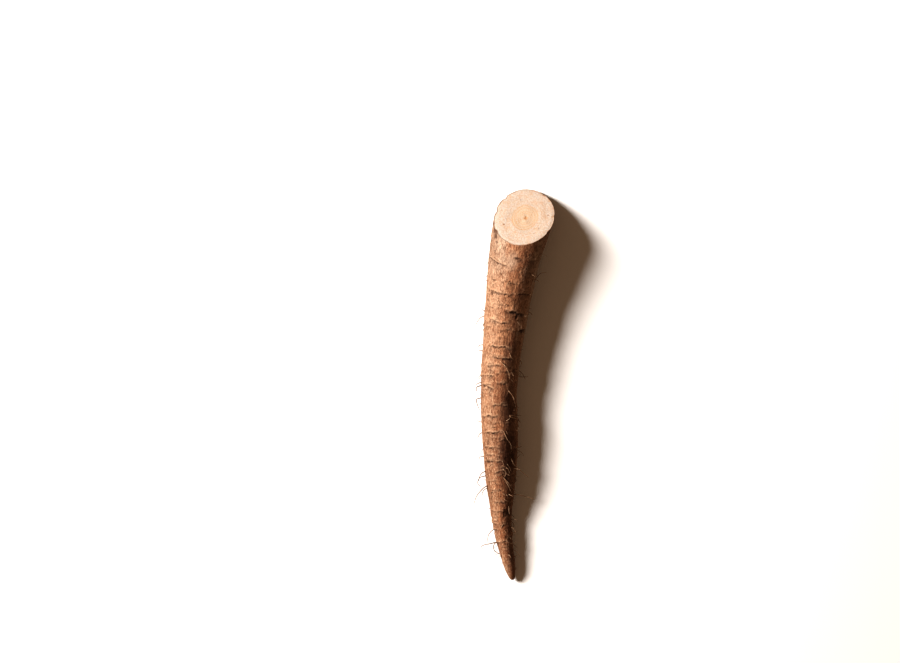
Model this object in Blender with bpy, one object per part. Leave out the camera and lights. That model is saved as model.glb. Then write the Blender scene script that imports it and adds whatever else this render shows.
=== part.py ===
"""A burdock root lying on its side, cut off slantwise at its thick end.

Metres, +Z up. The root runs along Y: its cut end is towards +Y and its tip towards -Y. The origin is on the
surface that the root lies on, under the middle of the root's bounding box.
"""

import math

import bmesh
import bpy
from mathutils import Matrix, Vector

MM = 0.001

# The course of the root from its tip to a little past the cut, in mm. Each row is a place along Y,
# how far the root's axis is off to the side there, and the root's radius there.
COURSE = (
    (-110.2, -2.5, 0.0),
    (-109.6, -2.7, 1.2),
    (-107.0, -3.5, 2.2),
    (-104.0, -4.2, 3.0),
    (-98.5, -5.3, 3.7),
    (-87.5, -7.6, 4.7),
    (-76.0, -9.0, 5.5),
    (-65.0, -9.5, 6.8),
    (-53.5, -9.6, 8.3),
    (-42.5, -9.7, 9.3),
    (-31.0, -10.0, 9.8),
    (-20.0, -10.4, 10.1),
    (-8.5, -10.6, 10.0),
    (3.0, -10.1, 10.4),
    (14.0, -9.4, 10.8),
    (25.0, -8.2, 11.4),
    (47.5, -5.6, 12.9),
    (70.0, -1.9, 14.7),
    (94.5, 3.2, 16.7),
    (124.0, 9.7, 18.3),
)

# The root isn't quite round. Each row is a shallow wave in its skin: height as a share of the radius,
# lobes around the root, length along the root in mm, and phase in radians.
WAVES = (
    (0.012, 2, 150.0, 0.4),
    (0.010, 3, 62.0, 2.1),
    (0.007, 5, 41.0, 4.4),
)

PRESSED = 0.5 * MM  # how much of the underside is flat against the surface
LIFT = 1.6 * MM  # how far the tip is clear of the surface
LIFT_FROM = -62.0 * MM  # where along the root the tip starts to rise
HEAD_LIFT = 0.4 * MM  # how far the end of the course, past the cut, is clear of the surface
HEAD_FROM = 48.0 * MM  # where along the root the cut end starts to rise
CUT_AT = Vector((3.1, 93.4)) * MM  # where the cut crosses the root's axis, along X and Y
CUT_RISE = math.radians(46.8)  # how far the cut face looks up from the root's length
CUT_TURN = math.radians(2.0)  # how far it looks round towards +X

SIDES = 36
RING_GAP = 4.0 * MM  # along the root
TIP_RINGS = (0.15, 0.5, 1.3, 2.6)  # the closer rings of the tip, in mm from its end
MERGE = 0.02 * MM

SKIN = (0.33, 0.17, 0.085, 1.0)
FLESH = (0.86, 0.62, 0.40, 1.0)
SKIN_ROUGHNESS = 0.85
FLESH_ROUGHNESS = 0.6


def clear_scene():
    for thing in list(bpy.data.objects):
        bpy.data.objects.remove(thing, do_unlink=True)


def material(name, colour, roughness):
    made = bpy.data.materials.new(name)
    made.use_nodes = True
    shader = made.node_tree.nodes["Principled BSDF"]
    shader.inputs["Base Color"].default_value = colour
    shader.inputs["Roughness"].default_value = roughness
    shader.inputs["Metallic"].default_value = 0.0
    return made


def slope(rows, i, column):
    """How fast a column of COURSE changes at row i, from the rows on either side."""
    before = rows[max(i - 1, 0)]
    after = rows[min(i + 1, len(rows) - 1)]
    return (after[column] - before[column]) / (after[0] - before[0])


def course(y, column):
    """A column of COURSE at the place y, both in metres, on a smooth curve through its rows."""
    along = y / MM
    i = 0
    while i < len(COURSE) - 2 and along > COURSE[i + 1][0]:
        i += 1
    low, high = COURSE[i], COURSE[i + 1]
    span = high[0] - low[0]
    t = (along - low[0]) / span
    start = low[column] * (1 + 2 * t) * (1 - t) ** 2
    end = high[column] * (3 - 2 * t) * t**2
    leave = slope(COURSE, i, column) * span * t * (1 - t) ** 2
    arrive = slope(COURSE, i + 1, column) * span * t**2 * (t - 1)
    return (start + end + leave + arrive) * MM


def axis_point(y):
    """The root's axis at the place y: low enough for the underside to press on the surface, but for both ends."""
    tip, end = COURSE[0][0] * MM, COURSE[-1][0] * MM
    towards_tip = max(0.0, (LIFT_FROM - y) / (LIFT_FROM - tip))
    towards_head = max(0.0, (y - HEAD_FROM) / (end - HEAD_FROM))
    lift = (LIFT + PRESSED) * towards_tip**2 + (HEAD_LIFT + PRESSED) * towards_head**2
    return Vector((course(y, 1), y, course(y, 2) - PRESSED + lift))


def heading(y):
    """The way that the axis runs at the place y, seen from above."""
    step = 0.5 * MM
    side = course(y + step, 1) - course(y - step, 1)
    return math.atan2(side, 2 * step)


def waviness(y, angle):
    total = 1.0
    for height, lobes, length, phase in WAVES:
        total += height * math.cos(lobes * angle + phase + math.tau * y / (length * MM))
    return total


def stations():
    """The places of the rings, from the tip to past the cut."""
    tip, end = COURSE[0][0] * MM, COURSE[-1][0] * MM
    places = [tip + gap * MM for gap in TIP_RINGS]
    while places[-1] + RING_GAP < end:
        places.append(places[-1] + RING_GAP)
    return places


def straight_blank():
    """A straight sleeve of radius 1 around Y, with a ring at each station."""
    mesh = bmesh.new()
    rail = [mesh.verts.new((1.0, y, 0.0)) for y in stations()]
    line = [mesh.edges.new(pair) for pair in zip(rail, rail[1:])]
    bmesh.ops.spin(
        mesh,
        geom=rail + line,
        axis=(0.0, 1.0, 0.0),
        cent=(0.0, 0.0, 0.0),
        angle=math.tau,
        steps=SIDES,
        use_merge=True,
    )
    return mesh


def bend(mesh):
    """Gives the blank the root's girth and lays it along the root's axis."""
    for vert in mesh.verts:
        y = vert.co.y
        angle = math.atan2(vert.co.z, vert.co.x)
        radius = course(y, 2) * waviness(y, angle)
        around = Vector((radius * math.cos(angle), 0.0, radius * math.sin(angle)))
        vert.co = axis_point(y) + Matrix.Rotation(-heading(y), 3, "Z") @ around
        vert.co.z = max(vert.co.z, 0.0)


def close_tip(mesh):
    """Draws the first ring together to a point at the root's end."""
    end = COURSE[0][0] * MM
    first = [v for v in mesh.verts if v.is_boundary and v.co.y < 0.0]
    rim = [e for e in mesh.edges if e.is_boundary and e.verts[0] in first]
    cap = bmesh.ops.contextual_create(mesh, geom=rim)["faces"]
    middle = bmesh.ops.poke(mesh, faces=cap)["verts"]
    middle[0].co = Vector((course(end, 1), end, middle[0].co.z))


def cut_end(mesh):
    """Slices off the thick end and fills the slice with one flat face, which is returned."""
    look = Vector((0.0, math.cos(CUT_RISE), math.sin(CUT_RISE)))
    look.rotate(Matrix.Rotation(-CUT_TURN, 3, "Z"))
    centre = Vector((CUT_AT.x, CUT_AT.y, axis_point(CUT_AT.y).z))
    bmesh.ops.bisect_plane(
        mesh,
        geom=mesh.verts[:] + mesh.edges[:] + mesh.faces[:],
        dist=MERGE,
        plane_co=centre,
        plane_no=look,
        clear_outer=True,
    )
    bmesh.ops.remove_doubles(mesh, verts=mesh.verts[:], dist=MERGE)
    rim = [e for e in mesh.edges if e.is_boundary]
    return bmesh.ops.contextual_create(mesh, geom=rim)["faces"]


def centre_over_origin(mesh):
    xs = [v.co.x for v in mesh.verts]
    ys = [v.co.y for v in mesh.verts]
    middle = Vector(((min(xs) + max(xs)) / 2, (min(ys) + max(ys)) / 2, 0.0))
    bmesh.ops.translate(mesh, verts=mesh.verts[:], vec=-middle)


def burdock_root():
    mesh = straight_blank()
    bend(mesh)
    close_tip(mesh)
    for face in cut_end(mesh):
        face.material_index = 1
    bmesh.ops.recalc_face_normals(mesh, faces=mesh.faces[:])
    centre_over_origin(mesh)

    data = bpy.data.meshes.new("burdock_root")
    mesh.to_mesh(data)
    mesh.free()
    data.materials.append(material("root_skin", SKIN, SKIN_ROUGHNESS))
    data.materials.append(material("cut_flesh", FLESH, FLESH_ROUGHNESS))
    data.shade_smooth()
    data.set_sharp_from_angle(angle=math.radians(35.0))
    root = bpy.data.objects.new("burdock_root", data)
    bpy.context.scene.collection.objects.link(root)
    return root


clear_scene()
burdock_root()
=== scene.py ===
import math
import random

import bmesh
import bpy
import numpy as np
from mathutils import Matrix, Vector, noise
from mathutils.bvhtree import BVHTree


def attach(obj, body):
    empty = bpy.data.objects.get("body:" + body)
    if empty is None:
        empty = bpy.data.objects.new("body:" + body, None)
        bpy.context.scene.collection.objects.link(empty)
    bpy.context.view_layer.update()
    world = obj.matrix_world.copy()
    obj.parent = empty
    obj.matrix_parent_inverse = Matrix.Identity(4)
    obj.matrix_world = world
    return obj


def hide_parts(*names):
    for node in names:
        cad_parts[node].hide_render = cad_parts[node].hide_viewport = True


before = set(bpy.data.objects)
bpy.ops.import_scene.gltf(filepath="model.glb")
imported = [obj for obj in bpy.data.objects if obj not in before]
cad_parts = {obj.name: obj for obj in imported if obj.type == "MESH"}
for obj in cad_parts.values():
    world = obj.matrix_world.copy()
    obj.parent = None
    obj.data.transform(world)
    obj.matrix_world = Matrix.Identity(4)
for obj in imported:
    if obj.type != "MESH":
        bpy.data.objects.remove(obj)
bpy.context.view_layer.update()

mm = 0.001
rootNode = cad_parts["burdock_root"]

# floor, light and camera; lengths in metres
studio = {
    "floor": (0.90, 0.89, 0.88),
    "floorGlow": (0.42, 0.29, 0.20),  # what the floor throws back onto the root
    "keyElevation": 33.0,
    "keyTurn": 18.0,  # from -X round towards +Y
    "keyAway": 1.6,
    "keySize": 0.62,
    "keyPower": 72.0,
    "keyColour": (1.0, 0.975, 0.95),
    "ambient": (0.205, 0.132, 0.080),
    "backdrop": (0.86, 0.85, 0.84),
    "gamma": 0.78,
    "aim": Vector((-0.0381, 0.0300, 0.0)),  # the middle of the view, on the surface
    "height": 2.827,
    "lens": 200.0,
}


def addObject(name, data):
    thing = bpy.data.objects.new(name, data)
    bpy.context.scene.collection.objects.link(thing)
    return thing


def addStage():
    flat = bmesh.new()
    bmesh.ops.create_grid(flat, x_segments=1, y_segments=1, size=3.0)
    mesh = bpy.data.meshes.new("floor")
    flat.to_mesh(mesh)
    flat.free()
    floor = addObject("floor", mesh)
    made, tree, shader = newMaterial("paleSurface")
    path = addNode(tree, "ShaderNodeLightPath")
    colour = tinted(tree, path.outputs["Is Camera Ray"], studio["floorGlow"], studio["floor"])
    tree.links.new(colour, shader.inputs["Base Color"])
    shader.inputs["Roughness"].default_value = 0.9
    mesh.materials.append(made)


def addLight():
    lamp = bpy.data.lights.new("key", "AREA")
    lamp.shape = "DISK"
    lamp.size = studio["keySize"]
    lamp.energy = studio["keyPower"]
    lamp.color = studio["keyColour"]
    rise, turn = math.radians(studio["keyElevation"]), math.radians(studio["keyTurn"])
    towards = Vector((-math.cos(rise) * math.cos(turn), math.cos(rise) * math.sin(turn), math.sin(rise)))
    key = addObject("key", lamp)
    key.location = towards * studio["keyAway"]
    key.rotation_euler = towards.to_track_quat("Z", "Y").to_euler()

    world = bpy.data.worlds.new("studio")
    world.use_nodes = True
    tree = world.node_tree
    dim = tree.nodes["Background"]
    dim.inputs["Color"].default_value = (*studio["ambient"], 1.0)
    seen = addNode(tree, "ShaderNodeBackground")
    seen.inputs["Color"].default_value = (*studio["backdrop"], 1.0)
    path = addNode(tree, "ShaderNodeLightPath")
    both = addNode(tree, "ShaderNodeMixShader")
    tree.links.new(path.outputs["Is Camera Ray"], both.inputs[0])
    tree.links.new(dim.outputs[0], both.inputs[1])
    tree.links.new(seen.outputs[0], both.inputs[2])
    tree.links.new(both.outputs[0], tree.nodes["World Output"].inputs["Surface"])
    bpy.context.scene.world = world
    bpy.context.scene.view_settings.view_transform = "Standard"
    bpy.context.scene.view_settings.gamma = studio["gamma"]


def addCamera():
    eye = bpy.data.cameras.new("camera")
    eye.lens = studio["lens"]
    eye.sensor_width = 36.0
    eye.clip_end = 20.0
    camera = addObject("camera", eye)
    camera.location = studio["aim"] + Vector((0, 0, studio["height"]))
    bpy.context.scene.camera = camera


# nodes that every material uses

def newMaterial(name):
    made = bpy.data.materials.new(name)
    made.use_nodes = True
    tree = made.node_tree
    return made, tree, tree.nodes["Principled BSDF"]


def addNode(tree, kind, **settings):
    node = tree.nodes.new(kind)
    for key, value in settings.items():
        setattr(node, key, value)
    return node


def maths(tree, operation, *values):
    node = addNode(tree, "ShaderNodeMath", operation=operation)
    for socket, value in zip(node.inputs, values):
        if isinstance(value, (int, float)):
            socket.default_value = value
        else:
            tree.links.new(value, socket)
    return node.outputs[0]


def times(tree, a, b):
    return maths(tree, "MULTIPLY", a, b)


def plus(tree, a, b):
    return maths(tree, "ADD", a, b)


def ramped(tree, value, low, high):
    # 0 where the value is at low, 1 where it is at high, and smooth between
    node = addNode(tree, "ShaderNodeMapRange", interpolation_type="SMOOTHSTEP")
    node.inputs["From Min"].default_value = low
    node.inputs["From Max"].default_value = high
    tree.links.new(value, node.inputs["Value"])
    return node.outputs["Result"]


def painted(tree, name, output="Fac"):
    return addNode(tree, "ShaderNodeAttribute", attribute_name=name).outputs[output]


def tinted(tree, share, below, above):
    # below where share is 0, above where it is 1; each is a colour or a socket
    node = addNode(tree, "ShaderNodeMix", data_type="RGBA", clamp_factor=True)
    tree.links.new(share, node.inputs["Factor"])
    for socket, value in ((node.inputs[6], below), (node.inputs[7], above)):
        if isinstance(value, tuple):
            socket.default_value = (*value, 1.0)
        else:
            tree.links.new(value, socket)
    return node.outputs[2]


def roughen(tree, shader, height, strength, depth):
    # depth is in mm
    bump = addNode(tree, "ShaderNodeBump")
    bump.inputs["Strength"].default_value = strength
    bump.inputs["Distance"].default_value = depth * mm
    tree.links.new(height, bump.inputs["Height"])
    tree.links.new(bump.outputs["Normal"], shader.inputs["Normal"])


def makeMottle():
    # noise stretched along a piece and turned into a mask
    group = bpy.data.node_groups.new("mottle", "ShaderNodeTree")
    face = group.interface
    face.new_socket("Vector", in_out="INPUT", socket_type="NodeSocketVector")
    face.new_socket("Stretch", in_out="INPUT", socket_type="NodeSocketVector")
    for name in ("Scale", "Detail", "Low", "High"):
        face.new_socket(name, in_out="INPUT", socket_type="NodeSocketFloat")
    face.new_socket("Mask", in_out="OUTPUT", socket_type="NodeSocketFloat")
    start = addNode(group, "NodeGroupInput")
    end = addNode(group, "NodeGroupOutput")
    stretch = addNode(group, "ShaderNodeVectorMath", operation="MULTIPLY")
    group.links.new(start.outputs["Vector"], stretch.inputs[0])
    group.links.new(start.outputs["Stretch"], stretch.inputs[1])
    cloud = addNode(group, "ShaderNodeTexNoise")
    group.links.new(stretch.outputs[0], cloud.inputs["Vector"])
    group.links.new(start.outputs["Scale"], cloud.inputs["Scale"])
    group.links.new(start.outputs["Detail"], cloud.inputs["Detail"])
    mask = addNode(group, "ShaderNodeMapRange", interpolation_type="SMOOTHSTEP")
    group.links.new(cloud.outputs["Fac"], mask.inputs["Value"])
    group.links.new(start.outputs["Low"], mask.inputs["From Min"])
    group.links.new(start.outputs["High"], mask.inputs["From Max"])
    group.links.new(mask.outputs["Result"], end.inputs["Mask"])
    return group


def mottle(tree, vector, size, stretch, low, high, detail=3.0):
    # size is a patch's width in the vector's own units, and stretch how many times longer it is along Y
    node = addNode(tree, "ShaderNodeGroup", node_tree=mottleGroup)
    tree.links.new(vector, node.inputs["Vector"])
    node.inputs["Stretch"].default_value = (1.0, 1.0 / stretch, 1.0)
    node.inputs["Scale"].default_value = 1.0 / size
    node.inputs["Detail"].default_value = detail
    node.inputs["Low"].default_value = low
    node.inputs["High"].default_value = high
    return node.outputs["Mask"]


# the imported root: its axis, its cut and its girth

def packedShape(node):
    shape = bmesh.new()
    shape.from_mesh(node.data)
    bmesh.ops.remove_doubles(shape, verts=shape.verts[:], dist=0.01 * mm)
    return shape


def findCut(shape):
    # the slanting cut: the way it looks, and the corners of its rim
    upper = [f for f in shape.faces if f.normal.z > 0.3 and f.normal.y > 0.3]
    look = max(upper, key=lambda f: f.calc_area()).normal.copy()
    flat = {f for f in upper if f.normal.dot(look) > 0.9999}
    edges = {e for f in flat for e in f.edges if sum(g in flat for g in e.link_faces) == 1}
    rim = np.array([v.co[:] for v in {v for e in edges for v in e.verts}])
    return np.array(look), rim


def middleAt(ends, y):
    # the middle of the root's outline where it crosses the place y
    a, b = ends[:, 0], ends[:, 1]
    across = (a[:, 1] - y) * (b[:, 1] - y) < 0
    a, b = a[across], b[across]
    share = (y - a[:, 1]) / (b[:, 1] - a[:, 1])
    points = a + share[:, None] * (b - a)
    return (points.min(0) + points.max(0)) / 2


def findAxis(shape, rim):
    # rows of x, y, z down the middle of the root, run on straight past the cut
    ends = np.array([[v.co[:] for v in e.verts] for e in shape.edges])
    tip = min((v.co for v in shape.verts), key=lambda co: co.y)
    places = np.arange(tip.y + 1.5 * mm, rim[:, 1].min() - 1 * mm, 1.5 * mm)
    rows = np.array([middleAt(ends, y) for y in places])
    step = (rows[-1] - rows[-9]) / 8
    past = rows[-1] + step * np.arange(1, 40)[:, None]
    rows = np.vstack([np.array(tip), rows, past])
    fine = np.arange(rows[0, 1], rows[-1, 1], 0.5 * mm)
    sides = [blurred(np.interp(fine, rows[:, 1], rows[:, k]), 6) for k in (0, 2)]
    return np.stack([sides[0], fine, sides[1]], axis=1)


def blurred(values, reach):
    # a soft average over the neighbours along the first axis, with the ends held
    weights = np.exp(-0.5 * (np.arange(-3 * reach, 3 * reach + 1) / reach) ** 2)
    weights /= weights.sum()
    pad = [(3 * reach, 3 * reach)] + [(0, 0)] * (values.ndim - 1)
    longer = np.pad(values, pad, mode="reflect", reflect_type="odd")
    out = np.zeros_like(values)
    for k, weight in enumerate(weights):
        out += weight * longer[k:k + len(values)]
    return out


def rounded(rings, keep):
    # each ring's girth without its facets: only its broad swells are kept
    waves = np.fft.rfft(rings, axis=1)
    waves[:, keep:] = 0
    return np.fft.irfft(waves, n=rings.shape[1], axis=1)


def smoothStep(values, low, high):
    t = np.clip((values - low) / (high - low), 0, 1)
    return t * t * (3 - 2 * t)


def sharpStep(values, width):
    # 0 well below zero and 1 well above it, with a quick change about so wide between
    return 1 / (1 + np.exp(np.clip(-values / width, -60, 60)))


bark = {
    "around": 168,  # faces round the root
    "along": 500,  # rings from the tip to the cut
    "cutRings": 44,  # rings over the cut face
    "slantFrom": 26.0,  # mm along the root where its rings start to lean towards the cut
    "seed": 11,
    "swell": 0.30,  # heights in mm of the relief that covers all the bark
    "ridges": 0.12,
    "grit": 0.10,
    "belly": 0.14,  # mm by which the underside is uneven
    # the upper edge of the smooth strip on the side towards +X: mm along the root, and degrees round it
    "stripEdge": [(-30, 95), (-8, 74), (30, 62), (60, 62), (82, 66), (95, 92)],
    "stripFoot": 116,  # degrees round, where the strip has ended
    "stripSunk": 0.18,  # mm
    # a rubbed patch on top: mm along, degrees round, half length in mm, half width in degrees, how smooth
    "rubbed": (70.0, -6, 5.5, 15, 0.45),
    "slimFrom": 6.5,  # mm, the radius below which the marks are shallower and fainter
    # how many more marks of each kind lie at random
    "bands": 90,
    "shortLedges": 240,
    "pits": 70,
    "cracks": 30,
    # nicks in the rim of the cut: degrees round, radius in mm, depth in mm
    "nicks": [
        (-104, 1.6, 0.60), (-137, 1.3, 0.60), (-80, 0.8, 0.20), (-60, 1.2, 0.45),
        (98, 0.9, 0.30), (66, 0.8, 0.25), (124, 0.9, 0.15), (150, 1.0, 0.15),
    ],
    # painted shade: darker zones, most on the top's side towards +X where the key light falls away; also a
    # faint one towards -X and two darker patches near the underside: mm along, degrees round, half their
    # length in mm, half their width in degrees, how dark
    "grime": [
        (-39.0, 29, 18.0, 42, 1.0),
        (-14.0, 32, 14.0, 35, 0.92),
        (66.0, 34, 9.0, 18, 0.45),
        (18.0, 24, 10.0, 24, 0.62),
        (-97.0, 34, 9.0, 46, 0.60),
        (-20.0, -48, 26.0, 50, 0.14),
        (-30.0, -150, 30.0, 40, 0.45),
        (50.0, 170, 25.0, 50, 0.45),
    ],
}

# Where the skin has lifted into a ledge that looks towards the tip. Each row: mm along the root, degrees
# round it from the top towards +X, reach to each side in mm, height of the lip in mm, lean in mm per mm,
# and how dark it is.
ledges = [
    (68.6, -48, 8.5, 0.42, -0.20, 0.9),
    (65.0, 0, 3.5, 0.18, 0.10, 0.35),
    (58.0, 10, 3.5, 0.18, -0.12, 0.5),
    (51.9, -29, 6.6, 0.50, -0.05, 1.1),
    (53.4, 46, 4.4, 0.35, 0.05, 1.0),
    (42.0, 24, 5.4, 0.75, -0.04, 1.8),
    (36.0, -20, 6.0, 0.55, -0.03, 1.1),
    (32.0, 18, 3.0, 0.25, 0.02, 0.7),
    (33.2, 61, 3.6, 0.70, 0.30, 1.8),
    (21.8, -3, 6.4, 0.55, -0.06, 1.0),
    (15.8, 5, 5.8, 0.55, -0.04, 1.2),
    (11.2, -24, 4.4, 0.38, 0.02, 1.0),
    (8.4, 40, 3.8, 0.38, 0.00, 1.0),
    (5.0, -40, 3.2, 0.36, -0.06, 1.0),
    (1.0, 8, 3.0, 0.34, -0.04, 1.0),
    (-0.9, -46, 4.2, 0.42, -0.14, 1.1),
    (-11.6, 5, 4.2, 0.36, 0.02, 0.9),
    (-17.2, -38, 5.8, 0.42, -0.03, 1.0),
    (-21.5, -8, 3.0, 0.22, 0.06, 0.5),
    (-26.4, -22, 5.4, 0.36, 0.02, 1.0),
    (-31.0, 12, 3.6, 0.24, 0.02, 0.6),
    (-34.7, -34, 5.0, 0.32, 0.00, 0.8),
    (-39.2, -30, 4.2, 0.32, 0.00, 0.9),
    (-42.4, -30, 6.0, 0.40, 0.02, 0.9),
    (-48.0, 4, 3.6, 0.28, 0.10, 0.8),
    (-53.5, -30, 3.6, 0.20, 0.00, 0.5),
    (-58.4, -20, 3.0, 0.20, 0.04, 0.5),
    (-65.4, -4, 3.2, 0.32, 0.00, 1.0),
    (-70.4, -20, 4.8, 0.30, 0.02, 0.9),
    (-78.6, 0, 3.4, 0.22, 0.05, 0.6),
    (-88.4, -20, 3.8, 0.32, 0.06, 0.9),
    (-91.6, 10, 3.0, 0.24, -0.04, 0.7),
    (-98.5, -6, 2.2, 0.14, 0.05, 0.4),
]

# Small hollows and knots. Each row: mm along, degrees round, radius in mm, depth in mm, and how dark it is.
hollows = [
    (72.2, 4, 0.9, 0.35, 1.3),
    (71.6, 14, 1.2, 0.25, 0.8),
    (39.6, 29, 1.0, 0.50, 1.1),
    (32.2, 58, 1.1, 0.45, 1.3),
    (84.6, -62, 1.7, 0.40, 1.1),
    (81.6, -58, 1.3, 0.35, 1.0),
    (78.5, -52, 0.9, 0.20, 0.8),
    (50.6, -48, 0.9, 0.30, 1.0),
    (51.0, 4, 0.8, 0.25, 0.7),
    (-6.0, -30, 0.7, 0.25, 0.8),
    (8.6, 47, 1.1, 0.35, 0.9),
    (-71.6, 46, 1.9, 0.45, 1.1),
    (-30.0, 40, 2.4, 0.25, 0.6),
    (-52.0, 24, 1.6, 0.25, 0.7),
    (-40.0, 44, 1.8, 0.25, 0.7),
    (-86.0, 20, 1.0, 0.20, 0.8),
]

# Broad dents. Each row: mm along, degrees round, half length in mm, half width in mm, and depth in mm.
dents = [
    (-40.0, 43, 14.0, 3.6, 0.85),
    (-14.0, 44, 10.0, 3.4, 0.45),
    (-98.0, 48, 8.0, 1.6, 0.25),
]

# Shallow cracks along the root, with pale fibres beside them. Each row: mm along at the middle, degrees
# round, reach in mm and depth in mm.
splits = [
    (71.0, 23, 7.0, 0.06),
    (61.0, 25, 7.0, 0.06),
    (76.0, 36, 5.0, 0.04),
    (50.0, 30, 4.0, 0.03),
    (14.0, 58, 6.0, 0.03),
]


def blankRoot():
    # a straight turned blank: the bark is the part from y = 0 to 1, and the cut face the part from 1 to 2
    blank = bmesh.new()
    steps = np.linspace(0, 1, bark["along"] + 1)[1:]
    inward = np.linspace(0, 1, bark["cutRings"] + 1)[1:-1]
    profile = [(0.0, 0.0)] + [(1.0, t) for t in steps] + [(1.0 - q, 1.0 + q) for q in inward] + [(0.0, 2.0)]
    line = [blank.verts.new((0.0, y, radius)) for radius, y in profile]
    edges = [blank.edges.new(pair) for pair in zip(line, line[1:])]
    bmesh.ops.spin(
        blank, geom=line + edges, axis=(0, 1, 0), cent=(0, 0, 0), angle=math.tau, steps=bark["around"],
        use_merge=True, use_duplicate=False,
    )
    poles = [v for v in blank.verts if v.co.x ** 2 + v.co.z ** 2 < 1e-9]
    bmesh.ops.remove_doubles(blank, verts=poles, dist=1e-5)
    for face in blank.faces:
        face.material_index = int(face.calc_center_median().y > 1.0)
        face.smooth = True
    for edge in blank.edges:
        edge.smooth = len({f.material_index for f in edge.link_faces}) == 1
    return blank


class Skin:
    # the bark as a grid of rings and columns: place, radius and relief in mm, turn in radians from the top
    # towards +X, core and point in metres
    pass


def girth(skin, tree):
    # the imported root's radius along rays from outside towards its axis
    far = 60 * mm
    rays = np.full(skin.place.shape, np.nan)
    for ring in range(rays.shape[0]):
        for column in range(rays.shape[1]):
            out = skin.out[ring, column]
            start = Vector(skin.core[ring, column] + far * out)
            hit = tree.ray_cast(start, Vector(-out), far)
            if hit[0] is not None:
                rays[ring, column] = far - hit[3]
    return rays


def cutEnds(axis, slopes, sideways, upwards, rim, turn):
    # how far along the root each column of the skin runs before it meets the slanting cut
    nearest = [np.argmin(np.abs(((p - axis) * slopes).sum(1))) for p in rim]
    offsets = np.array([p - axis[k] for p, k in zip(rim, nearest)])
    rimTurn = np.arctan2((offsets * sideways[nearest]).sum(1), (offsets * upwards[nearest]).sum(1))
    order = np.argsort(rimTurn)
    rimTurn = rimTurn[order]
    rimPlace = axis[nearest, 1][order] / mm
    wrapped = np.concatenate([rimTurn - math.tau, rimTurn, rimTurn + math.tau])
    ends = np.interp(turn, wrapped, np.tile(rimPlace, 3))
    return rounded(ends[None, :], 9)[0]


def layOutSkin(axis, look, rim, tree):
    skin = Skin()
    columns = bark["around"]
    turn = np.arange(columns) * math.tau / columns
    turn = (turn + math.pi) % math.tau - math.pi
    slopes = np.gradient(axis, axis[:, 1], axis=0)
    slopes /= np.linalg.norm(slopes, axis=1)[:, None]
    sideways = np.cross(slopes, (0, 0, 1))
    sideways /= np.linalg.norm(sideways, axis=1)[:, None]
    upwards = np.cross(sideways, slopes)
    ends = cutEnds(axis, slopes, sideways, upwards, rim, turn)

    # rings crowd towards the tip, and lean towards the cut near the other end
    t = np.linspace(0, 1, bark["along"] + 1)[1:]
    crowd = 1.012 * t * t / (t + 0.012)
    even = 0.76 * crowd + 0.24 * crowd ** 2
    tip = axis[0, 1] / mm
    middle = ends.mean()
    straight = tip + (middle - tip) * even
    lean = smoothStep(straight, bark["slantFrom"], middle)
    skin.place = straight[:, None] + lean[:, None] * (ends - middle)[None, :]
    skin.turn = np.broadcast_to(turn, skin.place.shape).copy()
    skin.tip = tip

    def along(values):
        return np.stack([np.interp(skin.place * mm, axis[:, 1], values[:, k]) for k in range(3)], axis=-1)

    skin.core = along(axis)
    skin.run = along(slopes)
    skin.out = np.sin(skin.turn)[..., None] * along(sideways) + np.cos(skin.turn)[..., None] * along(upwards)
    skin.look = look
    skin.level = look @ rim.mean(0)
    skin.radius = readGirth(skin, tree)
    return skin


def readGirth(skin, tree):
    # the last rings graze the cut, so they run on from the rings before them
    rays = girth(skin, tree)
    reachPoint = skin.core + rays[..., None] * skin.out
    close = np.isnan(rays) | ((skin.level - reachPoint @ skin.look) < 0.35 * mm)
    close[0] = False
    for ring in range(2, rays.shape[0]):
        bad = close[ring]
        rays[ring][bad] = 2 * rays[ring - 1][bad] - rays[ring - 2][bad]
    soft = blurred(rays, 5)
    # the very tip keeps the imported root's own roundness
    share = smoothStep(skin.place, skin.tip, skin.tip + 6)
    return np.maximum(rounded(share * soft + (1 - share) * rays, 13) / mm, 0.01)


def grain(skin, across, lengthwise, octaves, shift):
    # smooth noise on the skin, with features so many mm wide and so many mm long
    spots = np.stack([
        skin.radius * np.sin(skin.turn) / across + shift,
        skin.place / lengthwise + 3 * shift,
        skin.radius * np.cos(skin.turn) / across - shift,
    ], axis=-1).reshape(-1, 3)
    values = [noise.fractal(Vector(p), 0.9, 2.0, octaves) for p in spots]
    return np.array(values).reshape(skin.place.shape)


def drift(values, seed, bend):
    # a smooth random line between about -1 and 1, whose bends are so many mm apart
    knots = np.arange(-60, 60.1, 0.25)
    heights = [2 * noise.noise(Vector((k, seed, 0.5))) for k in knots]
    return np.interp(values / bend, knots, heights)


def patch(skin, along, around):
    # mm along and mm round from a point of the skin, for the rings near it
    rows = np.where(np.abs(skin.place.mean(axis=1) - along) < 32)[0]
    part = slice(rows[0], rows[-1] + 1)
    turn = (skin.turn[part] - math.radians(around) + math.pi) % math.tau - math.pi
    return part, skin.place[part] - along, turn * skin.radius[part]


def mark(layer, part, values):
    # the stronger of the mark and what is there
    layer[part] = np.maximum(layer[part], values)


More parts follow.
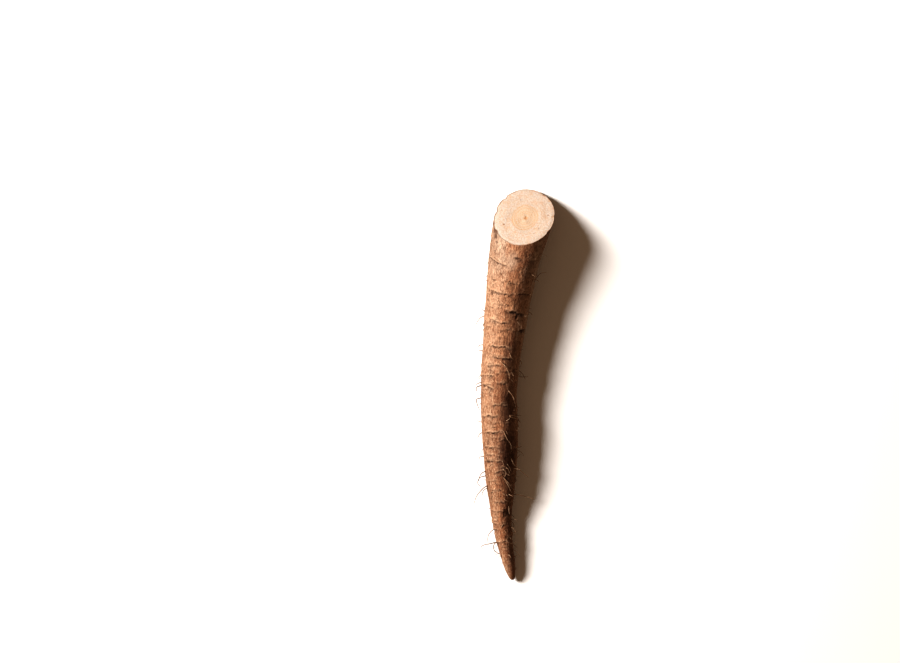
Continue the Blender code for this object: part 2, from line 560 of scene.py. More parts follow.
def raiseLedge(skin, along, around, reach, height, lean, dark, seed):
    # a lip that fades towards the cut, a sunken foot on its tip side, a broken dark line between that is
    # partly painted shadow under the lip, a pale lip that is partly painted highlight, and below it a mark
    # that is partly painted shadow and partly stain
    part, ahead, arc = patch(skin, along, around)
    reach = reach * 1.2
    inside = np.clip(1 - (arc / reach) ** 4, 0, 1)
    bends = 0.40 * drift(arc, seed, 3.4) + 0.22 * drift(arc, seed + 7.3, 0.9) - 0.05 * arc ** 2 / reach
    ahead = ahead - lean * arc - bends
    least = 0.75 if dark > 1.5 else 0.25  # the darkest ledges aren't broken
    strength = inside * np.clip(0.85 + 0.38 * drift(arc, seed + 31.7, 1.6), least, 1.1)
    fade = 1.3 + 2.2 * height
    lip = np.exp(-np.maximum(ahead, 0) / fade) * sharpStep(ahead, 0.16)
    foot = np.exp(-((ahead + 0.5) / 0.6) ** 2)
    skin.relief[part] += strength * height * (0.85 * lip - 0.75 * foot)
    wide = (0.22 + 0.20 * dark * dark) * np.clip(1 + 0.4 * drift(arc, seed + 51.1, 0.9), 0.6, 1.4)
    dashed = np.clip(0.85 + 0.6 * drift(arc, seed + 88.3, 0.6), least, 1.1)
    line = np.exp(-((ahead + 0.10 + 0.6 * wide) / wide) ** 2)
    # painted shadow under the lip, drawn as a dark crack line
    mark(skin.crack, part, min(0.9 * dark, 1.1) * strength * dashed * line)
    # partly painted highlight: the lip on the cut side of the line is made pale like fibre
    mark(skin.lip, part, min(dark, 1) * strength * np.exp(-((ahead - 0.45) / 0.45) ** 2))
    # painted shadow and stain below the ledge
    streaky = np.clip(0.8 + 0.7 * drift(arc, seed + 71.9, 0.5), 0, 1.5)
    below = np.exp(np.minimum(ahead, 0) / (0.8 + 0.9 * dark)) * sharpStep(-ahead, 0.15)
    mark(skin.stain, part, 0.5 * dark * strength * streaky * below)


def raiseBand(skin, draw, along, around, reach, height, lean, dark):
    # a ledge with a few shorter ones close beside it
    raiseLedge(skin, along, around, reach, height, lean, dark, draw.uniform(0, 90))
    radius = np.interp(along, skin.place.mean(axis=1), skin.radius.mean(axis=1))
    for k in range(2):
        aside = draw.uniform(-0.9, 0.9) * reach
        raiseLedge(
            skin, along + lean * aside + draw.uniform(-1.4, 1.4), around + math.degrees(aside / radius),
            reach * draw.uniform(0.2, 0.45), height * 0.5, lean, dark * draw.uniform(0.4, 0.8),
            seed=draw.uniform(0, 90),
        )


def sinkHollow(skin, along, around, radius, depth, dark, seed):
    # a bowl with a low brim, darkened with painted shade and stain
    part, ahead, arc = patch(skin, along, around)
    away = np.sqrt((arc / 1.25) ** 2 + ahead ** 2) / radius
    away *= 1 + 0.25 * drift(arc, seed, 0.8) + 0.25 * drift(ahead, seed + 3.1, 0.8)
    bowl = np.exp(-away ** 4)
    brim = np.exp(-((away - 1.35) / 0.3) ** 2)
    skin.relief[part] += 0.22 * depth * brim - depth * bowl
    mark(skin.stain, part, dark * bowl)


def pressDent(skin, along, around, length, width, depth):
    part, ahead, arc = patch(skin, along, around)
    skin.relief[part] -= depth * np.exp(-(ahead / length) ** 2 - (arc / width) ** 2)


def openSplit(skin, along, around, reach, depth, seed):
    # a broken groove along the root, painted dark as crack and shade, with a raised fibre beside it
    part, ahead, arc = patch(skin, along, around)
    inside = np.clip(1 - (ahead / reach) ** 2, 0, 1)
    arc = arc - 1.1 * drift(ahead, seed, 4.0) - 0.5 * drift(ahead, seed + 9.1, 1.2)
    broken = np.clip(0.35 + 1.2 * drift(ahead, seed + 17.9, 1.1), 0, 1)
    groove = np.exp(-(arc / 0.45) ** 2)
    fibre = np.exp(-((arc + 0.70) / 0.36) ** 2)
    skin.relief[part] += inside * broken * depth * (0.6 * fibre - groove)
    mark(skin.crack, part, 0.55 * inside * broken * groove)
    mark(skin.lip, part, 0.9 * inside * broken * fibre)


def smoothFlank(skin):
    # the side towards +X, where the rough outer bark has come away: a smoother strip from the cut to the
    # middle, whose paler colour also stands in for painted reflected light on the shaded flank
    edge = np.interp(skin.place, *zip(*bark["stripEdge"]))
    edge = edge + 9 * grain(skin, 5, 5, 2, 4.4)
    degrees = np.degrees(skin.turn)
    strip = np.clip((degrees - edge) / 7, 0, 1) * np.clip((bark["stripFoot"] - degrees) / 20, 0, 1)
    strip *= smoothStep(skin.place, -26, -14)
    # and a rubbed patch on top, below the cut
    along, around, reach, width, share = bark["rubbed"]
    away = ((skin.place - along) / reach) ** 2 + ((degrees - around) / width) ** 2
    return strip, share * np.exp(-away * away)


def paintedShadeZones(skin):
    # painted shade, as a share: darker across the top's side towards +X where the key light falls away, along
    # the flank towards -X, and in the listed zones
    degrees = np.degrees(skin.turn) + 10 * grain(skin, 4, 7, 3, 31.1)
    general = 0.38 + 0.14 * smoothStep(-skin.place, -30, 10) - 0.14 * smoothStep(skin.place, 32, 52)
    narrow = 34 * smoothStep(skin.place, -30, 10)
    total = general * smoothStep(degrees, -22, 34) * smoothStep(-degrees, narrow - 82, narrow - 54)
    total = np.maximum(total, 0.30 * smoothStep(-degrees, 34, 66))
    for along, around, reach, turn, dark in bark["grime"]:
        away = ((skin.place - along) / reach) ** 2 + ((degrees - around) / turn) ** 2
        total = np.maximum(total, dark * np.exp(-away * away))
    return np.clip(total + 0.12 * grain(skin, 3, 6, 3, 41.7), 0, 1)


def ruddyZone(skin):
    # painted shade: along the middle of the top, where the key light begins to fall away, the bark is made
    # redder and darker than to the left and the right
    degrees = np.degrees(skin.turn) + 12 * grain(skin, 5, 9, 3, 51.3)
    return smoothStep(degrees, -32, 4) * smoothStep(-degrees, -44, -22) * (1 - skin.smooth)


def scatterMarks(skin, draw):
    # the same marks on the sides and the underside, and fainter ones everywhere
    top = skin.place[-1].max()
    for k in range(bark["bands"]):
        raiseBand(
            skin, draw, draw.uniform(-104, top), draw.uniform(78, 282), draw.uniform(2.2, 6.5),
            draw.uniform(0.18, 0.5), draw.gauss(0, 0.05), draw.uniform(0.4, 1.1),
        )
    for k in range(bark["shortLedges"]):
        raiseLedge(
            skin, draw.uniform(-106, top), draw.uniform(-180, 180), draw.uniform(0.8, 2.6),
            draw.uniform(0.06, 0.20), draw.gauss(0, 0.08), draw.uniform(0.2, 0.7), seed=draw.uniform(0, 90),
        )
    for k in range(bark["pits"]):
        radius = draw.uniform(0.4, 1.0)
        sinkHollow(
            skin, draw.uniform(-100, top), draw.uniform(-180, 180), radius, radius * 0.3,
            draw.uniform(0.2, 0.8), seed=draw.uniform(0, 90),
        )
    for k in range(bark["cracks"]):
        openSplit(
            skin, draw.uniform(-70, top), draw.uniform(-180, 180), draw.uniform(2, 6),
            draw.uniform(0.02, 0.05), seed=draw.uniform(0, 90),
        )


def carveBark(skin):
    draw = random.Random(bark["seed"])
    for name in ("relief", "crack", "lip", "stain"):
        setattr(skin, name, np.zeros_like(skin.place))
    strip, rubbed = smoothFlank(skin)
    skin.smooth = np.maximum(strip, rubbed)
    rough = 1 - 0.7 * skin.smooth
    towardsCut = smoothStep(skin.place, skin.place[-1] - 14, skin.place[-1])
    skin.relief += bark["swell"] * (1 - 0.7 * towardsCut) * grain(skin, 11, 15, 2, 1.7)
    skin.relief += rough * bark["ridges"] * grain(skin, 2.4, 12, 3, 7.3)
    skin.relief += rough * bark["grit"] * grain(skin, 1.1, 2.8, 3, 12.9)
    skin.relief -= bark["stripSunk"] * strip
    skin.grime = paintedShadeZones(skin)
    skin.ruddy = ruddyZone(skin)
    print("bark: swells and grain")

    for row in dents:
        pressDent(skin, *row)
    for row in ledges:
        raiseBand(skin, draw, *row)
    for row in hollows:
        sinkHollow(skin, *row, seed=draw.uniform(0, 90))
    for row in splits:
        openSplit(skin, *row, seed=draw.uniform(0, 90))
    scatterMarks(skin, draw)
    # the rim of the cut is cleaner than the bark behind it, but for its nicks
    skin.relief *= 1 - 0.6 * smoothStep(skin.place, skin.place[-1] - 5, skin.place[-1])
    for around, radius, depth in bark["nicks"]:
        column = np.argmin(np.abs(np.degrees(skin.turn[-1]) - around))
        sinkHollow(skin, skin.place[-1, column], around, radius, depth, 1.0, seed=draw.uniform(0, 90))
    print("bark: ledges, hollows, splits and nicks")
    stout = np.clip(skin.radius / bark["slimFrom"], 0, 1)
    skin.relief *= stout
    for layer in (skin.crack, skin.lip, skin.stain):
        layer *= 0.4 + 0.6 * stout


def placeSkin(skin):
    # where each point of the bark is, in metres, with the last ring's points on the cut
    reach = (skin.radius + skin.relief) * mm
    skin.point = skin.core + reach[..., None] * skin.out
    uneven = bark["belly"] * mm * np.clip(1 + 1.6 * grain(skin, 3, 6, 3, 21.3), 0, 2)
    skin.point[..., 2] = np.maximum(skin.point[..., 2], uneven)
    level = skin.run[-1] * (1, 1, 0)
    slide = (skin.level - skin.point[-1] @ skin.look) / (level @ skin.look)
    back = np.exp(-(skin.place[-1] - skin.place) / 2.5)
    skin.point += (back * slide)[..., None] * level


def layOutCut(skin):
    # the cut face, ring by ring from the rim to the pith
    rim = skin.point[-1]
    upSlope = np.cross(skin.look, (1.0, 0.0, 0.0))
    upSlope *= np.sign(upSlope[1]) / np.linalg.norm(upSlope)
    level = np.cross(skin.look, upSlope)
    level *= np.sign(level[0])
    pith = (rim.min(0) + rim.max(0)) / 2
    pith = pith + (skin.level - pith @ skin.look) * skin.look
    pith = pith + mm * (flesh["pithAside"] * level + flesh["pithUp"] * upSlope)
    share = 1 - np.linspace(0, 1, bark["cutRings"] + 1)[1:]
    points = pith + share[:, None, None] * (rim - pith)
    # a blade's gentle waves, a dimple at the pith, and an edge that has shrunk a little
    turn = skin.turn[-1][None, :]
    wave = 0.05 * np.sin(7 * share[:, None] + 2 * turn) + 0.04 * np.sin(13 * share[:, None] - 3 * turn)
    dimple = 0.18 * np.exp(-(share[:, None] / 0.035) ** 2)
    shrunk = 0.16 * smoothStep(share[:, None], 0.90, 1.0)
    sink = (wave * (1 - share[:, None] ** 8) - dimple - shrunk) * mm
    return points + sink[..., None] * skin.look, share


def paint(mesh, name, values):
    kind = "FLOAT_VECTOR" if values.ndim == 2 else "FLOAT"
    layer = mesh.attributes.new(name, kind, "POINT")
    layer.data.foreach_set("vector" if kind == "FLOAT_VECTOR" else "value", values.astype(np.float32).ravel())


def findSpots(blank):
    # for each point of the blank: its y, whether it is on the bark, its rings of bark and cut, and its column
    rest = np.array([v.co[:] for v in blank.verts])
    column = np.rint(np.arctan2(rest[:, 0], rest[:, 2]) / math.tau * bark["around"]).astype(int)
    ring = np.rint(rest[:, 1] * bark["along"]).astype(int) - 1
    cutRing = np.rint((rest[:, 1] - 1) * bark["cutRings"]).astype(int) - 1
    return (
        rest[:, 1], rest[:, 1] < 1.0001, np.clip(ring, 0, bark["along"] - 1),
        np.clip(cutRing, 0, bark["cutRings"] - 1), column % bark["around"],
    )


def bendBlank(blank, spots, skin, cutPoints):
    # the turned blank is bent onto the skin's points
    y, onBark, ring, cutRing, column = spots
    places = np.where(onBark[:, None], skin.point[ring, column], cutPoints[cutRing, column])
    places[y < 1e-6] = skin.point[0].mean(0)
    for vert, place in zip(blank.verts, places):
        vert.co = place
    blank.normal_update()
    bmesh.ops.recalc_face_normals(blank, faces=blank.faces[:])
    if blank.calc_volume(signed=True) < 0:
        bmesh.ops.reverse_faces(blank, faces=blank.faces[:])


def paintBark(mesh, spots, skin, share):
    # the marks, each point's place on the bark rolled out straight, and its place on the cut
    y, onBark, ring, cutRing, column = spots
    for name in ("crack", "lip", "stain", "smooth", "grime", "ruddy"):
        values = np.clip(getattr(skin, name), 0, 1.3)
        paint(mesh, name, np.where(onBark, values[ring, column], 0.0))
    straight = np.stack(
        [skin.radius * np.sin(skin.turn), skin.place, skin.radius * np.cos(skin.turn)], axis=-1
    )
    paint(mesh, "straight", np.where(onBark[:, None], straight[ring, column], 0.0))
    reach = np.where(onBark, 1.0, share[cutRing])
    angle = column * math.tau / bark["around"]
    paint(mesh, "cutPlace", np.stack([reach * np.sin(angle), reach * np.cos(angle), 0 * angle], axis=1))


def makeBark():
    shape = packedShape(rootNode)
    look, rim = findCut(shape)
    axis = findAxis(shape, rim)
    skin = layOutSkin(axis, look, rim, BVHTree.FromBMesh(shape))
    shape.free()
    print("bark: girth read from the packed root")
    carveBark(skin)
    placeSkin(skin)
    cutPoints, share = layOutCut(skin)

    blank = blankRoot()
    spots = findSpots(blank)
    bendBlank(blank, spots, skin, cutPoints)
    mesh = bpy.data.meshes.new("bark")
    blank.to_mesh(mesh)
    blank.free()
    paintBark(mesh, spots, skin, share)
    mesh.materials.append(barkMaterial())
    mesh.materials.append(fleshMaterial())
    print("bark:", len(mesh.polygons), "faces")
    return addObject("bark", mesh), skin


barkColours = {
    "tan": (0.345, 0.182, 0.104),
    "pale": (0.515, 0.335, 0.220),
    "low": (0.250, 0.114, 0.056),  # tan and pale towards the tip
    "lowPale": (0.430, 0.255, 0.150),
    "lowTo": (-70.0, 60.0),  # mm along the root, where they begin to change and have changed
    # painted shade: the share of the bark's colour that the darkest zones keep
    "grime": (0.300, 0.215, 0.165),  # the darkest zones, as a share of the rest
    "clean": (0.96, 0.98, 1.00),  # the other zones, each as a share of the rest
    "dusty": (0.90, 1.02, 1.14),  # near the cut
    "dustyFrom": (52.0, 70.0),  # mm along the root, where it begins and is full
    # painted shade: the tint of the half-lit band along the middle of the top
    "ruddy": (1.00, 0.83, 0.71),  # along the middle of the top
    "brown": (0.150, 0.066, 0.031),
    "dark": (0.065, 0.028, 0.014),
    "crack": (0.052, 0.021, 0.010),
    "fibre": (0.600, 0.405, 0.265),
    # partly painted reflected light: the paler colour of the smooth strip on the shaded flank, and of the
    # rubbed patch
    "smooth": (0.450, 0.335, 0.245),
}

# Patches of colour, from the lowest layer up. Each row: width in mm, how many times longer it is along the
# root, the noise at which it begins and is full, how fine the noise is, how strong the patch is, and its
# colour.
barkLayers = {
    "rubbed": (2.0, 2.6, 0.50, 0.66, 3.0, 0.38, "paleHere"),
    "patches": (3.0, 1.6, 0.46, 0.68, 3.0, 0.30, "brown"),
    "streaks": (0.52, 5.5, 0.44, 0.64, 2.0, 0.55, "brown"),
    "specks": (0.42, 2.2, 0.56, 0.66, 1.0, 0.66, "fibre"),
    "fibres": (0.42, 8.0, 0.56, 0.68, 2.0, 0.65, "fibre"),
    "dashes": (0.46, 4.0, 0.57, 0.65, 1.0, 0.75, "brown"),
    "flecks": (0.8, 1.4, 0.65, 0.70, 3.0, 0.65, "dark"),
}


def barkMaterial():
    made, tree, shader = newMaterial("burdockBark")
    place = painted(tree, "straight", "Vector")  # mm, on the bark rolled out straight
    axes = addNode(tree, "ShaderNodeSeparateXYZ")
    tree.links.new(place, axes.inputs[0])
    tones = dict(barkColours)
    upper = ramped(tree, axes.outputs["Y"], *tones["lowTo"])
    colour = tinted(tree, upper, tones["low"], tones["tan"])
    tones["paleHere"] = tinted(tree, upper, tones["lowPale"], tones["pale"])
    clouds = mottle(tree, place, 7.0, 1.4, 0.38, 0.64)
    cloudy = times(tree, clouds, plus(tree, times(tree, upper, 0.45), 0.25))
    colour = tinted(tree, cloudy, colour, tones["paleHere"])
    masks = {}
    for name, (width, stretch, low, high, detail, share, tone) in barkLayers.items():
        masks[name] = mottle(tree, place, width, stretch, low, high, detail)
        colour = tinted(tree, times(tree, masks[name], share), colour, tones[tone])
    # the smooth strip and rubbed patch turn paler, which on the shaded flank is partly painted reflected
    # light
    colour = tinted(tree, times(tree, painted(tree, "smooth"), 0.68), colour, tones["smooth"])
    shade = tinted(tree, ramped(tree, axes.outputs["Y"], *tones["dustyFrom"]), tones["clean"], tones["dusty"])
    # painted shade tints the half-lit band along the middle of the top
    shade = tinted(tree, painted(tree, "ruddy"), shade, tones["ruddy"])
    # painted shade darkens the shaded zones
    shade = tinted(tree, painted(tree, "grime"), shade, tones["grime"])
    multiply = addNode(tree, "ShaderNodeMix", data_type="RGBA", blend_type="MULTIPLY")
    multiply.inputs["Factor"].default_value = 1.0
    tree.links.new(colour, multiply.inputs[6])
    tree.links.new(shade, multiply.inputs[7])
    # pale lips and fibres, partly painted highlight on the ledges' lips
    colour = tinted(tree, times(tree, painted(tree, "lip"), 0.5), multiply.outputs[2], tones["fibre"])
    # painted shadow and stain below the ledges and in the hollows
    colour = tinted(tree, times(tree, painted(tree, "stain"), 0.8), colour, tones["dark"])
    # the dark lines of ledges and splits: cracks with painted shadow in them
    colour = tinted(tree, painted(tree, "crack"), colour, tones["crack"])
    tree.links.new(colour, shader.inputs["Base Color"])

    rough = plus(tree, times(tree, masks["streaks"], 0.14), 0.74)
    tree.links.new(rough, shader.inputs["Roughness"])
    shader.inputs["Specular IOR Level"].default_value = 0.25

    height = plus(tree, times(tree, masks["streaks"], -0.5), times(tree, masks["dashes"], -0.7))
    height = plus(tree, height, times(tree, plus(tree, masks["fibres"], masks["specks"]), 0.6))
    height = plus(tree, height, times(tree, masks["flecks"], -0.5))
    roughen(tree, shader, height, 0.8, 0.12)
    return made


flesh = {
    "pithAside": 0.95,  # mm from the middle of the cut towards +X
    "pithUp": -0.6,  # mm up the slope of the cut
    "flesh": (0.530, 0.425, 0.338),
    "heart": (0.575, 0.462, 0.350),
    "ring": (0.540, 0.285, 0.112),
    "pale": (0.612, 0.552, 0.492),
    "pith": (0.450, 0.230, 0.105),
    "edge": (0.300, 0.165, 0.095),
    "specks": [  # share out from the pith, degrees round the cut, size and how dark it is
        (0.69, -70, 0.044, 1.00),
        (0.78, 102, 0.034, 0.75),
        (0.66, -162, 0.044, 0.45),
        (0.86, 131, 0.032, 0.40),
        (0.65, 60, 0.050, 0.60),
        (0.69, 41, 0.040, 0.40),
        (0.82, -110, 0.040, 0.20),
        (0.74, -20, 0.030, 0.22),
    ],
    # share out from the pith, and how strong the ring's colour is
    "rings": [
        (0.00, 0.90), (0.05, 0.45), (0.09, 0.22), (0.13, 0.08), (0.165, 0.50), (0.185, 0.42), (0.205, 0.08),
        (0.235, 0.70), (0.26, 0.12), (0.30, 0.06), (0.335, 0.60), (0.350, 0.55), (0.37, 0.08), (0.40, 0.12),
        (0.425, 0.95), (0.445, 0.25), (0.48, 0.00), (0.54, 0.05), (0.57, 0.40), (0.60, 0.05), (0.68, 0.05),
        (0.71, 0.30), (0.74, 0.00), (1.00, 0.00),
    ],
}


def ringRamp(tree, distance):
    node = addNode(tree, "ShaderNodeValToRGB")
    ramp = node.color_ramp
    first, last = flesh["rings"][0], flesh["rings"][-1]
    for element, (position, value) in zip(ramp.elements, (first, last)):
        element.position = position
        element.color = (value, value, value, 1)
    for position, value in flesh["rings"][1:-1]:
        ramp.elements.new(position).color = (value, value, value, 1)
    tree.links.new(distance, node.inputs["Fac"])
    return node.outputs["Color"]


def speckMask(tree, place, row):
    share, degrees, size, dark = row
    spot = (share * math.sin(math.radians(degrees)), share * math.cos(math.radians(degrees)), 0.0)
    away = addNode(tree, "ShaderNodeVectorMath", operation="DISTANCE")
    tree.links.new(place, away.inputs[0])
    away.inputs[1].default_value = spot
    return times(tree, ramped(tree, away.outputs["Value"], size, size * 0.3), dark)


def fleshMaterial():
    made, tree, shader = newMaterial("burdockCut")
    place = painted(tree, "cutPlace", "Vector")  # 0 at the pith and 1 long at the rim
    wobble = addNode(tree, "ShaderNodeTexNoise")
    wobble.inputs["Scale"].default_value = 3.0
    wobble.inputs["Detail"].default_value = 3.0
    tree.links.new(place, wobble.inputs["Vector"])
    length = addNode(tree, "ShaderNodeVectorMath", operation="LENGTH")
    tree.links.new(place, length.inputs[0])
    uneven = times(tree, maths(tree, "SUBTRACT", wobble.outputs["Fac"], 0.5), 0.07)
    distance = plus(tree, length.outputs["Value"], uneven)

    grains = mottle(tree, place, 0.050, 1.0, 0.38, 0.60, 3.0)
    clouds = mottle(tree, place, 0.22, 1.0, 0.45, 0.70, 2.0)
    pores = mottle(tree, place, 0.032, 1.0, 0.58, 0.70, 2.0)
    colour = tinted(tree, ramped(tree, distance, 0.50, 0.42), flesh["flesh"], flesh["heart"])
    outer = ramped(tree, distance, 0.36, 0.54)
    pale = times(tree, plus(tree, times(tree, grains, 0.85), 0.15), plus(tree, times(tree, outer, 0.7), 0.15))
    colour = tinted(tree, pale, colour, flesh["pale"])
    colour = tinted(tree, times(tree, times(tree, clouds, outer), 0.25), colour, flesh["ring"])
    broken = plus(tree, times(tree, wobble.outputs["Fac"], 0.8), 0.1)
    rings = times(tree, ringRamp(tree, distance), broken)
    colour = tinted(tree, rings, colour, flesh["ring"])
    colour = tinted(tree, times(tree, ramped(tree, distance, 0.095, 0.01), 0.9), colour, flesh["pith"])
    colour = tinted(tree, times(tree, pores, 0.72), colour, flesh["ring"])
    for row in flesh["specks"]:
        colour = tinted(tree, speckMask(tree, place, row), colour, flesh["edge"])
    ragged = plus(tree, distance, times(tree, maths(tree, "SUBTRACT", grains, 0.5), 0.012))
    skinEdge = times(tree, ramped(tree, ragged, 0.960, 0.990), plus(tree, times(tree, clouds, 0.5), 0.5))
    colour = tinted(tree, skinEdge, colour, flesh["edge"])
    tree.links.new(colour, shader.inputs["Base Color"])

    rough = plus(tree, times(tree, grains, 0.12), 0.54)
    tree.links.new(rough, shader.inputs["Roughness"])
    shader.inputs["Specular IOR Level"].default_value = 0.3
    shader.inputs["Subsurface Weight"].default_value = 0.08
    shader.inputs["Subsurface Radius"].default_value = (1.0, 0.6, 0.35)
    shader.inputs["Subsurface Scale"].default_value = 0.8 * mm
    height = maths(tree, "SUBTRACT", times(tree, grains, 0.7), rings)
    roughen(tree, shader, height, 0.5, 0.10)
    return made


rootlets = {
    "thick": 0.26,  # mm, the radius where a laid rootlet leaves the bark
    "thin": 0.12,  # mm, the radius at its end
    "step": 0.9,  # mm between points
    "lowest": 0.32,  # mm from the surface to a rootlet's middle
    "scattered": 170,
    "seed": 5,
    "tan": (0.450, 0.305, 0.195),
    "brown": (0.230, 0.120, 0.062),
    # the colour of the rootlets towards -X, which are darker
    "darkerLeft": (0.130, 0.068, 0.036),
    "darkerLeftFrom": -11.0,  # mm along X, where rootlets begin to be darker
}

# Rootlets laid one by one, from the bark outwards. Each row: mm over the bark at the middle, thickness as a
# share, and then the points that it passes over, in mm along X and Y.
laidRootlets = [
    (0.7, 0.9, [(-4.7, 18.2), (-3.4, 15.0), (-1.3, 13.7)]),
    (1.2, 1.2, [(-9.8, 13.2), (-6.9, 10.3), (-5.3, 7.0), (-4.4, 3.0)]),
    (0.8, 0.8, [(0.9, 8.1), (2.8, 6.0), (4.3, 3.0)]),
    (1.3, 1.2, [(-5.3, -3.2), (-3.0, -6.0), (-1.6, -9.9), (-1.0, -13.3)]),
    (0.8, 1.3, [(-4.7, -17.8), (-0.2, -19.5), (1.5, -21.2)]),
    (0.6, 1.1, [(-4.9, -17.2), (-2.4, -17.4), (-0.2, -18.4), (0.9, -20.4)]),
    (0.8, 1.0, [(-8.1, -25.7), (-5.8, -30.7), (-4.1, -33.0), (-3.6, -37.5)]),
    (1.4, 1.0, [(-4.1, -40.8), (-1.6, -45.4), (1.5, -48.2), (6.0, -52.1)]),
    (0.9, 0.8, [(-9.2, -45.3), (-6.2, -46.4), (-4.1, -51.0)]),
    (0.7, 0.7, [(-8.6, -47.0), (-6.6, -49.6), (-7.4, -51.6)]),
    (0.6, 0.7, [(-6.4, -44.2), (-4.4, -46.8), (-3.6, -49.4)]),
    (1.2, 1.0, [(-8.1, -52.1), (-5.2, -55.2), (-3.0, -58.4), (-1.3, -60.0)]),
    (0.9, 0.9, [(-7.6, -52.8), (-4.8, -57.6), (-3.0, -60.9), (-1.0, -60.6)]),
    (1.6, 1.0, [(-3.6, -61.7), (0.4, -62.0), (3.7, -62.8), (9.4, -64.5)]),
    (0.8, 0.6, [(10.5, 59.8), (13.0, 62.8), (16.1, 63.2)]),
    (0.8, 0.9, [(-19.3, 39.0), (-21.8, 36.8), (-23.8, 33.4)]),
    (0.8, 0.9, [(-21.0, 22.7), (-22.7, 21.0)]),
    (0.8, 0.9, [(-21.0, 19.3), (-22.7, 18.8)]),
    (0.8, 1.0, [(-21.6, 1.3), (-23.8, -0.3)]),
    (0.8, 1.2, [(-22.1, -0.3), (-23.4, -2.2), (-23.0, -3.7)]),
    (0.8, 1.1, [(-23.3, -7.1), (-22.9, -10.6), (-21.3, -14.4)]),
    (0.8, 0.9, [(-21.0, -26.8), (-22.7, -30.2)]),
    (0.8, 0.8, [(-20.4, -40.3), (-21.6, -41.0), (-21.0, -42.5)]),
    (0.8, 1.0, [(-18.8, -48.7), (-20.8, -50.6), (-22.1, -54.3)]),
    (0.8, 1.0, [(-18.6, -51.4), (-21.4, -52.4), (-22.4, -55.8), (-20.6, -57.6)]),
    (0.8, 1.1, [(-18.2, -57.2), (-21.0, -60.0), (-23.1, -62.8), (-24.4, -66.7)]),
    (0.8, 0.9, [(-18.2, -58.2), (-20.0, -61.8), (-18.4, -63.4)]),
    (0.8, 0.9, [(-14.3, -81.9), (-16.4, -84.8), (-17.1, -88.7)]),
    (0.8, 1.0, [(-15.4, -89.8), (-18.4, -90.2), (-20.4, -91.5), (-19.3, -92.6)]),
    (0.8, 1.0, [(-12.6, -88.7), (-13.6, -91.5), (-12.8, -94.0), (-10.3, -95.4)]),
    (0.3, 0.7, [(-3.4, -88.8), (-1.8, -90.6), (-0.2, -92.0)]),
    (0.3, 0.5, [(-2.6, -93.0), (-0.4, -94.4), (1.2, -97.0)]),
    (0.8, 0.7, [(-3.6, -76.8), (-2.0, -79.4), (-3.4, -81.4), (-2.4, -84.2)]),
    (0.8, 0.6, [(-3.2, -80.2), (-1.2, -82.6), (-2.2, -85.2)]),
]


def smoothRoute(points, step):
    # points about a step apart on a smooth curve through the given ones
    points = np.array(points, dtype=float)
    lengths = np.linalg.norm(np.diff(points, axis=0), axis=1)
    at = np.concatenate([[0], np.cumsum(lengths)])
    count = max(5, int(at[-1] / step) + 1)
    fine = np.linspace(0, at[-1], count)
    slopes = np.gradient(points, at, axis=0)
    out = []
    for s in fine:
        k = min(np.searchsorted(at, s, side="right") - 1, len(points) - 2)
        span = at[k + 1] - at[k]
        t = (s - at[k]) / span
        out.append(
            points[k] * (1 + 2 * t) * (1 - t) ** 2 + points[k + 1] * (3 - 2 * t) * t ** 2
            + slopes[k] * span * t * (1 - t) ** 2 + slopes[k + 1] * span * t ** 2 * (t - 1)
        )
    return np.array(out)


def offSurface(point):
    return Vector((point.x, point.y, max(point.z, rootlets["lowest"] * mm)))


def keepClear(tree, point, gap):
    # out of the bark and off the surface that the root lies on
    near, normal, index, away = tree.find_nearest(point)
    inside = (point - near).dot(normal) < 0
    if inside or away < gap:
        point = near + normal * gap
    return offSurface(point)


def layRootlet(tree, over, points):
    flat = smoothRoute(points, rootlets["step"])
    middle = 0.75 * tree.find_nearest(Vector((*flat[0], 15)) * mm)[0].z / mm + 1
    heights = []
    for k, (x, y) in enumerate(flat):
        hit = tree.ray_cast(Vector((x, y, 60)) * mm, Vector((0, 0, -1)))[0]
        t = k / (len(flat) - 1)
        if hit is not None:
            heights.append(hit.z / mm + over * math.sin(math.pi * min(t, 0.9)))
        elif heights:
            heights.append(max(heights[-1] - 0.3, 0.4))
        else:
            heights.append(middle)
    soft = blurred(np.array(heights), 1)
    route = [Vector((x, y, z)) * mm for (x, y), z in zip(flat, soft)]
    near, normal, index, away = tree.find_nearest(route[0])
    route[0] = offSurface(near - normal * 0.3 * mm)
    return route[:1] + [keepClear(tree, p, 0.25 * mm) for p in route[1:]]


def growRootlet(tree, skin, draw):
    # a short rootlet that leaves the bark at a random place and curls
    share = 0.04 + 0.90 * (1 - draw.random() ** 1.3) ** 0.9
    ring = int(share * bark["along"]) if draw.random() < 0.5 else draw.randrange(20, 490)
    column = draw.randrange(bark["around"])
    out = Vector(skin.out[ring, column])
    run = Vector(skin.run[ring, column])
    start = Vector(skin.point[ring, column])
    side = run.cross(out)
    way = out * draw.uniform(0.4, 1.0) + side * draw.uniform(-0.8, 0.8) - run * draw.uniform(-0.3, 1.0)
    way.normalize()
    length = draw.uniform(1.2, 3.4) if draw.random() < 0.7 else draw.uniform(3.4, 7.5)
    count = max(5, int(length / 0.6))
    curl = Vector([draw.gauss(0, 1) for k in range(3)]) * 0.28
    route = [offSurface(start + out * depth * mm) for depth in (-0.25, 0.05)]
    droop = Vector((0, 0, 0.05))
    for k in range(count):
        shake = Vector([draw.gauss(0, 0.14) for j in range(3)])
        way = (way + curl * 0.5 + shake - droop).normalized()
        route.append(keepClear(tree, route[-1] + way * (length / count) * mm, 0.15 * mm))
    return route


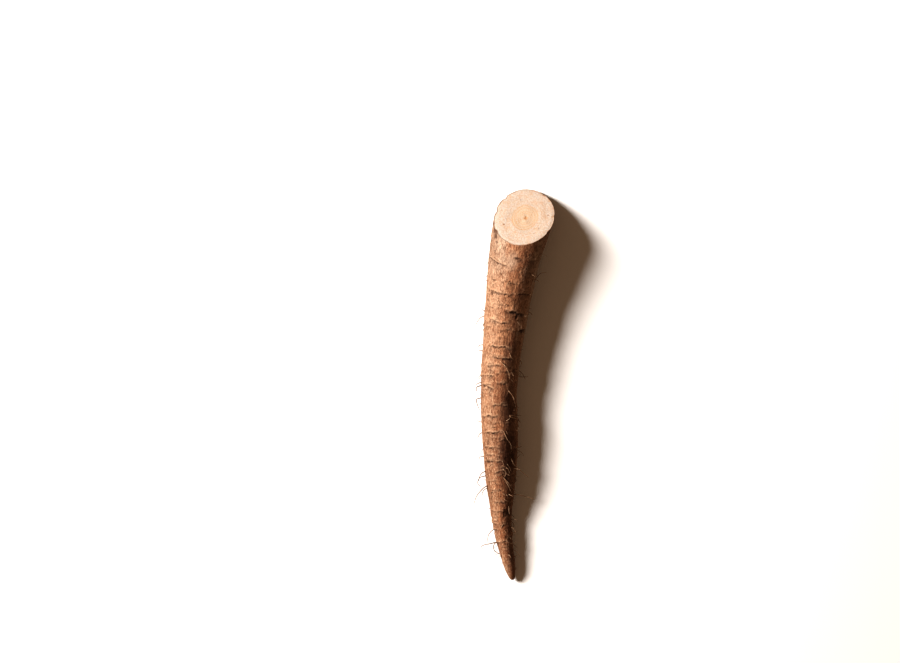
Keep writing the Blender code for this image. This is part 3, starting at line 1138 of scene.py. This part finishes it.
def makeRootlets(barkPiece, skin):
    draw = random.Random(rootlets["seed"])
    tree = BVHTree.FromObject(barkPiece, bpy.context.evaluated_depsgraph_get())
    strands = [(thick, layRootlet(tree, over, points)) for over, thick, points in laidRootlets]
    for k in range(rootlets["scattered"]):
        strands.append((draw.uniform(0.4, 0.85), growRootlet(tree, skin, draw)))

    curve = bpy.data.curves.new("rootlets", "CURVE")
    curve.dimensions = "3D"
    curve.bevel_depth = 1.0 * mm
    curve.bevel_resolution = 1
    curve.use_fill_caps = True
    for thick, route in strands:
        spline = curve.splines.new("POLY")
        spline.points.add(len(route) - 1)
        for k, (point, place) in enumerate(zip(spline.points, route)):
            t = k / (len(route) - 1)
            point.co = (*place, 1.0)
            point.radius = thick * (rootlets["thick"] * (1 - t) + rootlets["thin"] * t)
    drawn = bpy.data.objects.new("rootletCurve", curve)
    mesh = bpy.data.meshes.new_from_object(drawn)
    mesh.name = "rootlets"
    bpy.data.objects.remove(drawn)
    shape = bmesh.new()
    shape.from_mesh(mesh)
    bmesh.ops.remove_doubles(shape, verts=shape.verts[:], dist=0.002 * mm)
    bmesh.ops.recalc_face_normals(shape, faces=shape.faces[:])
    for face in shape.faces:
        face.smooth = True
    shape.to_mesh(mesh)
    shape.free()
    mesh.materials.clear()
    mesh.materials.append(rootletMaterial())
    print("rootlets:", len(strands), "strands,", len(mesh.polygons), "faces")
    return addObject("rootlets", mesh)


def rootletMaterial():
    made, tree, shader = newMaterial("burdockRootlet")
    place = addNode(tree, "ShaderNodeTexCoord").outputs["Object"]
    patches = mottle(tree, place, 1.6 * mm, 1.0, 0.40, 0.62)
    bands = mottle(tree, place, 0.5 * mm, 1.0, 0.50, 0.70, 2.0)
    colour = tinted(tree, patches, rootlets["tan"], rootlets["brown"])
    colour = tinted(tree, times(tree, bands, 0.5), colour, rootlets["brown"])
    axes = addNode(tree, "ShaderNodeSeparateXYZ")
    tree.links.new(place, axes.inputs[0])
    # rootlets towards -X are darker
    darkerLeft = ramped(tree, axes.outputs["X"], rootlets["darkerLeftFrom"] * mm, (rootlets["darkerLeftFrom"] - 3) * mm)
    colour = tinted(tree, times(tree, darkerLeft, 0.8), colour, rootlets["darkerLeft"])
    tree.links.new(colour, shader.inputs["Base Color"])
    tree.links.new(plus(tree, times(tree, bands, 0.2), 0.62), shader.inputs["Roughness"])
    shader.inputs["Specular IOR Level"].default_value = 0.3
    roughen(tree, shader, bands, 0.4, 0.05)
    return made


addCamera()
addLight()
addStage()
mottleGroup = makeMottle()
print("studio ready")

barkPiece, skin = makeBark()
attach(barkPiece, "root")
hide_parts("burdock_root")

rootletPiece = makeRootlets(barkPiece, skin)
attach(rootletPiece, "root")
